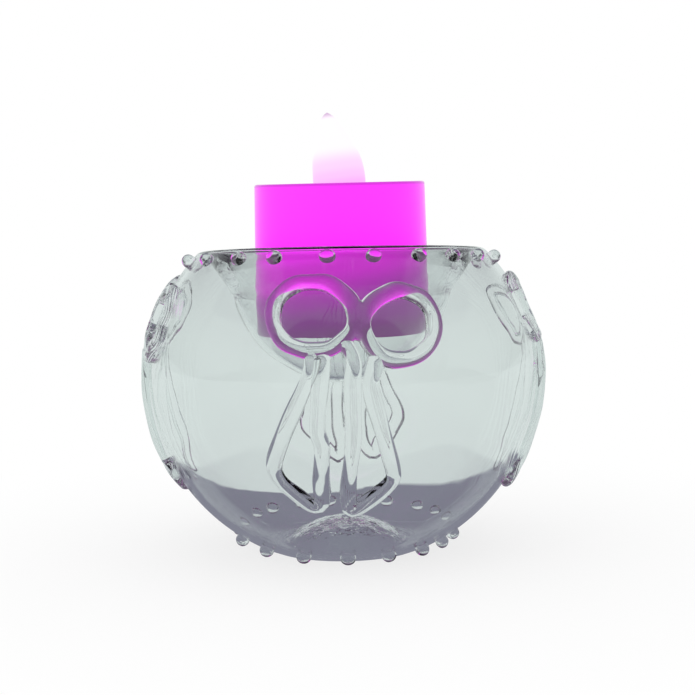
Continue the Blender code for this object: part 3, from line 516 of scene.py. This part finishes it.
# one skin of the flame: radius * (1 - share^2.2)^0.75, drawn sideways by share^1.6
def flameSkin(radius, foot, height, rows, columns):
    t = tealight
    share = np.linspace(0.0, 1.0, rows, endpoint=False) ** 0.8
    z = foot + (t["height"] + height - foot) * share
    up = np.clip((z - t["height"]) / height, 0.0, 1.0)
    size = radius * (1.0 - up**2.2) ** 0.75
    lean = t["tipShift"] * up**1.6
    turns = np.linspace(0.0, math.tau, columns, endpoint=False)
    rings = np.stack([lean[:, None] + size[:, None] * np.cos(turns), size[:, None] * np.sin(turns),
                      z[:, None] * np.ones(columns)], axis=-1)
    return rings, np.array([[t["tipShift"], 0.0, t["height"] + height]])


# the flame as one closed surface: outer skin from its tip down, the flange, and the inner skin up to its own tip
def makeFlame():
    t = tealight
    columns = 72
    flangeTop = t["height"] - t["wall"] - t["gap"]
    flangeFoot = flangeTop - t["flangeThickness"]
    turns = np.linspace(0.0, math.tau, columns, endpoint=False)
    outer, outerTip = flameSkin(t["flameRadius"], flangeTop, t["flameHeight"], 46, columns)
    inner, innerTip = flameSkin(t["flameRadius"] - t["flameWall"], flangeFoot, t["flameHeight"] - 1.4, 40, columns)
    ring = (t["flameRadius"] + t["flange"]) * np.stack([np.cos(turns), np.sin(turns)], axis=-1)
    top = np.concatenate([ring, np.full((columns, 1), flangeTop)], axis=1)[None]
    low = np.concatenate([ring, np.full((columns, 1), flangeFoot)], axis=1)[None]
    rows = np.concatenate([outer[::-1], top, low, inner])
    points = np.concatenate([rows.reshape(-1, 3), outerTip, innerTip]) * mm
    count = rows.shape[0] * columns
    quads = gridFaces(rows.shape[0], columns)
    fans = poleFaces(rows.shape[0], columns, count, count + 1)
    return putMesh("flameTip", points, quads, fans)


candleShell = makeShell()
flameTip = makeFlame()
for item in (candleShell, flameTip):
    item.data.transform(tealightPlace())
    item.data.update()
    item.data.shade_smooth()
    item.data.set_sharp_from_angle(angle=math.radians(35.0))
print("tealight shell and flame:", facesOutward(candleShell), "and", facesOutward(flameTip), "cubic cm")


# a node with its settings; values go into its sockets, by label or number
def addNode(nodeSet, kind, values=None, **settings):
    node = nodeSet.new("ShaderNode" + kind)
    for key, value in settings.items():
        setattr(node, key, value)
    for key, value in (values or {}).items():
        node.inputs[key].default_value = value
    return node


# a colour ramp through stops of (position, colour)
def addRamp(nodeSet, stops):
    node = nodeSet.new("ShaderNodeValToRGB")
    node.color_ramp.interpolation = "EASE"
    while len(node.color_ramp.elements) < len(stops):
        node.color_ramp.elements.new(0.5)
    for element, (position, colour) in zip(node.color_ramp.elements, stops):
        element.position = position
        element.color = (*colour, 1.0)
    return node


def join(links, *pairs):
    for source, target in pairs:
        links.new(source, target)


def newMaterial(name, values):
    material = bpy.data.materials.new(name)
    material.use_nodes = True
    tree = material.node_tree
    shader = tree.nodes["Principled BSDF"]
    for key, value in values.items():
        shader.inputs[key].default_value = value
    return material, tree.nodes, tree.links, shader


# a fine relief from noise on the surface; its nodes are handed back, for more to be built on them
def addRelief(nodeSet, links, shader, scale, detail, strength, depth):
    where = addNode(nodeSet, "TexCoord")
    noise = addNode(nodeSet, "TexNoise", {"Scale": scale, "Detail": detail})
    bump = addNode(nodeSet, "Bump", {"Strength": strength, "Distance": depth})
    join(links, (where.outputs["Object"], noise.inputs["Vector"]), (noise.outputs["Fac"], bump.inputs["Height"]),
         (bump.outputs["Normal"], shader.inputs["Normal"]))
    return dict(where=where, noise=noise, bump=bump)


glassLook = dict(
    # the tint is painted: a faint grey-green for the pale wall seen through the clear glass
    paintedWallTint=(0.97, 0.985, 0.98), bending=1.47,
    reliefScale=90.0, reliefStrength=0.08, reliefDepth=0.0006,
    rippleScale=300.0, rippleStrength=0.35, rippleFull=0.012, rippleEnd=0.0155,     # metres from the foot's middle
)


# clear glass with a faint relief all over, and a ripple in the foot's middle where the blowpipe was broken off; its
# faint grey-green tint is painted, standing in for the pale wall seen through the clear glass
def clearGlass():
    g = glassLook
    material, nodeSet, links, shader = newMaterial("clearGlass", {
        "Base Color": (*g["paintedWallTint"], 1.0), "Roughness": 0.0, "IOR": g["bending"], "Transmission Weight": 1.0})
    relief = addRelief(nodeSet, links, shader, g["reliefScale"], 1.5, g["reliefStrength"], g["reliefDepth"])
    place = relief["where"].outputs["Object"]
    fromFoot = addNode(nodeSet, "VectorMath", operation="LENGTH")
    share = addNode(nodeSet, "MapRange", {"From Min": g["rippleFull"], "From Max": g["rippleEnd"], "To Min": 1.0,
                                          "To Max": 0.0}, interpolation_type="SMOOTHSTEP")
    ripple = addNode(nodeSet, "TexNoise", {"Scale": g["rippleScale"], "Detail": 2.0})
    height = addNode(nodeSet, "Math", operation="MULTIPLY")
    bump = addNode(nodeSet, "Bump", {"Strength": g["rippleStrength"], "Distance": g["reliefDepth"]})
    join(links, (place, fromFoot.inputs[0]), (fromFoot.outputs["Value"], share.inputs["Value"]),
         (place, ripple.inputs["Vector"]), (ripple.outputs["Fac"], height.inputs[0]),
         (share.outputs["Result"], height.inputs[1]), (height.outputs[0], bump.inputs["Height"]),
         (relief["bump"].outputs["Normal"], bump.inputs["Normal"]), (bump.outputs["Normal"], shader.inputs["Normal"]))
    return material


# the lit plastic's run of colours, over heights in metres, tilted to one side so that the left side glows brighter, a
# painted light; the painted shade along the top edge lies just under the shell's top
glowRun = dict(low=0.047, high=0.095, paintedLightTilt=-0.12, edgeLow=0.0011, edgeHigh=0.0002)


# lit plastic: the glow is ramp(height) times a painted top shade, a darker band along the shell's top edge
def litPlastic(name, base, glow, stops, roughness, paintedTopShade=1.0, topHeight=1.0, sheen=0.0):
    r = glowRun
    material, nodeSet, links, shader = newMaterial(name, {
        "Base Color": (*base, 1.0), "Roughness": roughness, "Emission Strength": glow, "Sheen Weight": sheen,
        "Sheen Roughness": 0.35})
    relief = addRelief(nodeSet, links, shader, 1500.0, 3.0, 0.08, 0.0001)
    place = relief["where"].outputs["Object"]
    # painted light: the tilt lifts the run towards the left, so that side glows brighter
    paintedLightSlant = addNode(nodeSet, "VectorMath", {1: (r["paintedLightTilt"], 0.0, 1.0)}, operation="DOT_PRODUCT")
    run = addNode(nodeSet, "MapRange", {"From Min": r["low"], "From Max": r["high"]})
    ramp = addRamp(nodeSet, stops)
    along = addNode(nodeSet, "VectorMath", {1: tealightUp}, operation="DOT_PRODUCT")
    # painted shade: the glow darkens to the top shade in a thin band just under the shell's top
    edge = addNode(nodeSet, "MapRange", {"From Min": topHeight - r["edgeLow"], "From Max": topHeight - r["edgeHigh"],
                                         "To Min": 1.0, "To Max": paintedTopShade}, interpolation_type="SMOOTHSTEP")
    shade = addNode(nodeSet, "VectorMath", operation="SCALE")
    join(links, (place, paintedLightSlant.inputs[0]), (paintedLightSlant.outputs["Value"], run.inputs["Value"]),
         (run.outputs["Result"], ramp.inputs["Fac"]), (place, along.inputs[0]),
         (along.outputs["Value"], edge.inputs["Value"]), (ramp.outputs["Color"], shade.inputs[0]),
         (edge.outputs["Result"], shade.inputs["Scale"]), (shade.outputs["Vector"], shader.inputs["Emission Color"]))
    return material


# moulded plastic: fine noise moves the colour a little
def mouldedPlastic(name, colour, roughness):
    material, nodeSet, links, shader = newMaterial(name, {"Roughness": roughness})
    relief = addRelief(nodeSet, links, shader, 2200.0, 4.0, 0.15, 0.00008)
    mix = addNode(nodeSet, "Mix", {6: (*[0.93 * c for c in colour], 1.0), 7: (*colour, 1.0)}, data_type="RGBA")
    join(links, (relief["noise"].outputs["Fac"], mix.inputs[0]), (mix.outputs[2], shader.inputs["Base Color"]))
    return material


# metal with fine lines: noise stretched along one axis drives the roughness
def drawnMetal(name, colour, roughness, stretch):
    material, nodeSet, links, shader = newMaterial(name, {"Base Color": (*colour, 1.0), "Metallic": 1.0})
    where = addNode(nodeSet, "TexCoord")
    mapping = addNode(nodeSet, "Mapping", {"Scale": stretch})
    noise = addNode(nodeSet, "TexNoise", {"Scale": 900.0})
    ranged = addNode(nodeSet, "MapRange", {"To Min": roughness * 0.7, "To Max": roughness * 1.3})
    join(links, (where.outputs["Object"], mapping.inputs["Vector"]),
         (mapping.outputs["Vector"], noise.inputs["Vector"]), (noise.outputs["Fac"], ranged.inputs["Value"]),
         (ranged.outputs["Result"], shader.inputs["Roughness"]))
    return material


# the glow's colours, from the low end of the run to the high end; the shell's dim grey-purple low stops are painted
# shade, darker towards its foot in the cup
shellGlowShadeStops = [(0.0, (0.115, 0.075, 0.13)), (0.09, (0.135, 0.05, 0.165)), (0.18, (0.24, 0.02, 0.27)),
              (0.29, (0.52, 0.008, 0.51)), (0.37, (1.0, 0.012, 1.0)), (1.0, (1.0, 0.015, 1.0))]
flameStops = [(0.0, (0.9, 0.2, 0.9)), (0.66, (0.95, 0.44, 0.95)), (0.7, (0.95, 0.55, 0.95)),
              (0.745, (0.95, 0.64, 0.95)), (0.83, (0.96, 0.92, 0.96)), (0.955, (0.96, 0.92, 0.96)),
              (0.985, (0.6, 0.45, 0.62)), (1.0, (0.6, 0.45, 0.62))]

tealightUp = tealightPlace().to_3x3() @ Vector((0.0, 0.0, 1.0))
shellTop = tealightUp.dot(tealightPlace() @ Vector((0.0, 0.0, tealight["height"] * mm)))
finishes = {
    # painted light: the shell's plastic is white, and its magenta base colour paints the LED's light into it
    "lit_shell": litPlastic("litShell", (0.35, 0.012, 0.35), 0.95, shellGlowShadeStops, 0.5, 0.4, shellTop, 0.9),
    "lit_flame": litPlastic("litFlame", (0.12, 0.06, 0.12), 1.0, flameStops, 0.5),
    "lamp_lens": litPlastic("lampLens", (0.8, 0.6, 0.8), 1.0, flameStops, 0.15),
    "white_plastic": mouldedPlastic("whitePlastic", (0.86, 0.86, 0.84), 0.5),
    "grey_plastic": mouldedPlastic("greyPlastic", (0.3, 0.3, 0.32), 0.5),
    "cell_steel": drawnMetal("cellSteel", (0.66, 0.66, 0.67), 0.28, (1.0, 8.0, 1.0)),
    "screw_steel": drawnMetal("screwSteel", (0.6, 0.6, 0.61), 0.32, (1.0, 1.0, 6.0)),
    "nickel_strip": drawnMetal("nickelStrip", (0.74, 0.73, 0.7), 0.22, (8.0, 1.0, 1.0)),
}

for part in frame["record"]["subparts"]:
    if part["node"] in nodes and part["material_slot"] in finishes:
        data = nodes[part["node"]].data
        if not data.materials:
            data.materials.append(None)
        for index in range(len(data.materials)):
            data.materials[index] = finishes[part["material_slot"]]

glassBody.data.materials.clear()
glassBody.data.materials.append(clearGlass())
candleShell.data.materials.append(finishes["lit_shell"])
flameTip.data.materials.append(finishes["lit_flame"])
print("materials given")

for piece, node, slot in ((glassBody, "glass_holder", "clear_glass"), (candleShell, "candle_shell", "lit_shell"),
                          (flameTip, "flame_tip", "lit_flame")):
    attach(piece, "holder")
    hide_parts(node)


# floor, surroundings and lamps; sizes in metres
studio = dict(
    floorSize=3.0, floorPaper=0.8,
    floorWhite=0.8,      # how much of the floor's white is its own, the rest is lit and takes the shadow
    shadowNear=0.04, shadowFar=0.14,      # the shadow fades out between these distances
    tableEdge=0.0585, edgeBlur=0.004, edgeTurn=0.08, cornerRound=0.05,
    tableColour=(0.225, 0.23, 0.285), wallColour=(0.705, 0.765, 0.755),
    sideShade=0.45, sideFrom=0.45, sideTo=0.95,     # the wall darkens towards both sides
    ceilingColour=(0.1, 0.06, 0.11), ceilingFrom=0.2, ceilingTo=0.5,     # overhead, through and off the glass
    dimRoom=0.12,        # how bright the room behind the camera is in reflections
    softLight=0.75,      # the strength of the light from all round
    glassBounces=24,     # thick glass needs more than the usual twelve turns of a ray
)


# the floor: white with a shadow to the camera; to rays through or off the glass a grey table, a rounded square
# whose edge is where smooth max(|x|, |y|) = tableEdge, with the wall's colour beyond it
def makeFloor():
    f = studio
    half = f["floorSize"]
    corners = np.array([(-half, -half, 0.0), (half, -half, 0.0), (half, half, 0.0), (-half, half, 0.0)])
    floor = putMesh("floor", corners, np.array([[0, 1, 2, 3]]), smooth=False)
    material = bpy.data.materials.new("floorPaper")
    material.use_nodes = True
    nodeSet, links = material.node_tree.nodes, material.node_tree.links
    nodeSet.clear()
    rays = addNode(nodeSet, "LightPath")
    where = addNode(nodeSet, "TexCoord").outputs["Object"]

    lit = addNode(nodeSet, "BsdfDiffuse", {"Color": (f["floorPaper"], f["floorPaper"], f["floorPaper"], 1.0)})
    white = addNode(nodeSet, "Emission")
    distance = addNode(nodeSet, "VectorMath", operation="LENGTH")
    fade = addNode(nodeSet, "MapRange", {"From Min": f["shadowNear"], "From Max": f["shadowFar"],
                                         "To Min": f["floorWhite"]}, interpolation_type="SMOOTHSTEP")
    toCamera = addNode(nodeSet, "MixShader")
    join(links, (where, distance.inputs[0]), (distance.outputs["Value"], fade.inputs["Value"]),
         (fade.outputs["Result"], toCamera.inputs[0]), (lit.outputs[0], toCamera.inputs[1]),
         (white.outputs[0], toCamera.inputs[2]))

    turned = addNode(nodeSet, "VectorRotate", {"Angle": -f["edgeTurn"]}, rotation_type="Z_AXIS")
    size = addNode(nodeSet, "VectorMath", operation="ABSOLUTE")
    split = addNode(nodeSet, "SeparateXYZ")
    farther = addNode(nodeSet, "Math", {2: f["cornerRound"]}, operation="SMOOTH_MAX")
    beyond = addNode(nodeSet, "MapRange", {"From Min": f["tableEdge"], "From Max": f["tableEdge"] + f["edgeBlur"]})
    seen = addNode(nodeSet, "Mix", {6: (*f["tableColour"], 1.0), 7: (*f["wallColour"], 1.0)}, data_type="RGBA")
    table = addNode(nodeSet, "Emission")
    join(links, (where, turned.inputs["Vector"]), (turned.outputs["Vector"], size.inputs[0]),
         (size.outputs["Vector"], split.inputs["Vector"]), (split.outputs["X"], farther.inputs[0]),
         (split.outputs["Y"], farther.inputs[1]), (farther.outputs[0], beyond.inputs["Value"]),
         (beyond.outputs["Result"], seen.inputs[0]), (seen.outputs[2], table.inputs["Color"]))

    byGlass = addNode(nodeSet, "Math", operation="MAXIMUM")
    choose = addNode(nodeSet, "MixShader")
    out = addNode(nodeSet, "OutputMaterial")
    join(links, (rays.outputs["Is Transmission Ray"], byGlass.inputs[0]),
         (rays.outputs["Is Glossy Ray"], byGlass.inputs[1]), (byGlass.outputs[0], choose.inputs[0]),
         (toCamera.outputs[0], choose.inputs[1]), (table.outputs[0], choose.inputs[2]),
         (choose.outputs[0], out.inputs["Surface"]))
    floor.data.materials.append(material)


# the world: white to the camera; to rays through or off the glass a pale wall, darker to both sides and overhead,
# and in reflections darker behind the camera; soft white light to everything else
def makeWorld():
    w = studio
    world = bpy.data.worlds.new("studioWorld")
    bpy.context.scene.world = world
    world.use_nodes = True
    nodeSet, links = world.node_tree.nodes, world.node_tree.links
    nodeSet.clear()
    rays = addNode(nodeSet, "LightPath")
    where = addNode(nodeSet, "TexCoord")
    split = addNode(nodeSet, "SeparateXYZ")
    sideways = addNode(nodeSet, "Math", operation="ABSOLUTE")
    wall = addRamp(nodeSet, [(w["sideFrom"], w["wallColour"]),
                             (w["sideTo"], [w["sideShade"] * c for c in w["wallColour"]])])
    overhead = addNode(nodeSet, "MapRange", {"From Min": w["ceilingFrom"], "From Max": w["ceilingTo"]},
                       interpolation_type="SMOOTHSTEP")
    room = addNode(nodeSet, "Mix", {7: (*w["ceilingColour"], 1.0)}, data_type="RGBA")
    join(links, (where.outputs["Generated"], split.inputs["Vector"]), (split.outputs["X"], sideways.inputs[0]),
         (sideways.outputs[0], wall.inputs["Fac"]), (split.outputs["Z"], overhead.inputs["Value"]),
         (overhead.outputs["Result"], room.inputs[0]), (wall.outputs["Color"], room.inputs[6]))

    white = (1.0, 1.0, 1.0, 1.0)
    plain = addNode(nodeSet, "Background", {"Color": white})
    soft = addNode(nodeSet, "Background", {"Color": white, "Strength": w["softLight"]})
    through = addNode(nodeSet, "Background")
    mirrored = addNode(nodeSet, "Background")
    behind = addNode(nodeSet, "MapRange", {"From Min": -0.95, "From Max": -0.1, "To Min": w["dimRoom"]},
                     interpolation_type="SMOOTHSTEP")
    join(links, (room.outputs[2], through.inputs["Color"]), (room.outputs[2], mirrored.inputs["Color"]),
         (split.outputs["Y"], behind.inputs["Value"]), (behind.outputs["Result"], mirrored.inputs["Strength"]))

    # each step lets one kind of ray see its own background
    shown = soft
    for kind, own in (("Is Glossy Ray", mirrored), ("Is Transmission Ray", through), ("Is Camera Ray", plain)):
        step = addNode(nodeSet, "MixShader")
        join(links, (rays.outputs[kind], step.inputs[0]), (shown.outputs[0], step.inputs[1]),
             (own.outputs[0], step.inputs[2]))
        shown = step
    out = addNode(nodeSet, "OutputWorld")
    join(links, (shown.outputs[0], out.inputs["Surface"]))


lamps = [  # name, place and aim in metres, size, power in watts
    ("overhead", (0.0, -0.1, 0.9), (0.0, 0.0, 0.05), 1.2, 4.0),
    ("leftSoft", (-0.9, -0.6, 0.6), (0.0, 0.0, 0.05), 0.9, 2.0),
]


def makeLamps():
    for name, spot, aim, size, power in lamps:
        data = bpy.data.lights.new(name, "AREA")
        data.size = size
        data.energy = power
        lamp = bpy.data.objects.new(name, data)
        bpy.context.scene.collection.objects.link(lamp)
        lamp.visible_transmission = lamp.visible_glossy = False
        lamp.location = spot
        lamp.rotation_euler = (Vector(aim) - Vector(spot)).to_track_quat("-Z", "Y").to_euler()


makeFloor()
makeWorld()
makeLamps()
bpy.context.scene.view_settings.view_transform = "Standard"
bpy.context.scene.cycles.max_bounces = studio["glassBounces"]
bpy.context.scene.cycles.transmission_bounces = studio["glassBounces"]
bpy.context.scene.cycles.glossy_bounces = studio["glassBounces"]
print("stage and lamps set")
